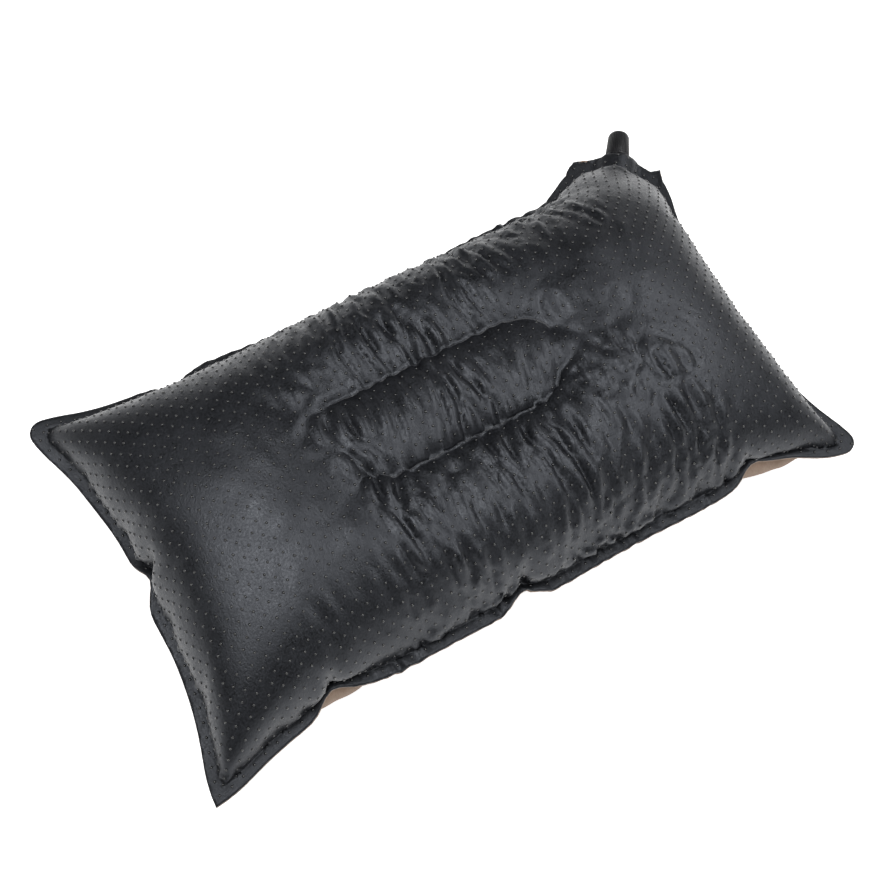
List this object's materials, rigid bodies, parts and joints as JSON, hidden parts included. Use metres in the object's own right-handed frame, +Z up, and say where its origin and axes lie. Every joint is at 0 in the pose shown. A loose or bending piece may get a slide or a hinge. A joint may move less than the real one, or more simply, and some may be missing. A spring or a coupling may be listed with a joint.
{
  "type": "self-inflating camp pillow",
  "caption": "Inflated rectangular camp pillow with welded flange, oval seam hollow, foam core and a ribbed twist valve on one cut-off corner.",
  "frame": {"origin": "under the middle of the pillow, on the surface that it rests on", "axes": "+X along the pillow's length towards the valve end, +Y across it towards the valve side, +Z up through the top cover"},
  "size_m": [0.4771, 0.289, 0.108],
  "materials": {
    "top_fabric": "peach-skin coated cloth",
    "bottom_fabric": "brushed coated cloth",
    "foam": "open-cell foam",
    "valve_soft_plastic": "soft moulded plastic",
    "valve_plastic": "moulded plastic",
    "seal_rubber": "smooth rubber",
    "cap_plastic": "ribbed moulded plastic"
  },
  "bodies": {
    "pillow": {"top_cover": "top_fabric", "bottom_cover": "bottom_fabric", "foam_core": "foam", "valve_boat": "valve_soft_plastic", "valve_neck": "valve_plastic", "neck_ring": "seal_rubber", "stop_ring": "valve_plastic", "valve_plug": "valve_plastic", "plug_ring": "seal_rubber"},
    "seal": {"cap_seal": "seal_rubber"},
    "cap": {"valve_cap": "cap_plastic"}
  },
  "joints": [
    {"name": "cap_lift", "type": "slide", "parent": "pillow", "child": "seal", "axis": [0.6157, 0.788, 0], "range_m": [0, 0.003]},
    {"name": "cap_turn", "type": "hinge", "parent": "seal", "child": "cap", "pos_m": [0.2212, 0.1298, 0.05184], "axis": [0.6157, 0.788, 0], "range_deg": [0, 360]}
  ],
  "couplings": [
    {"joint": "cap_turn", "follows": "cap_lift", "rad_per_m": 2094.4}
  ]
}
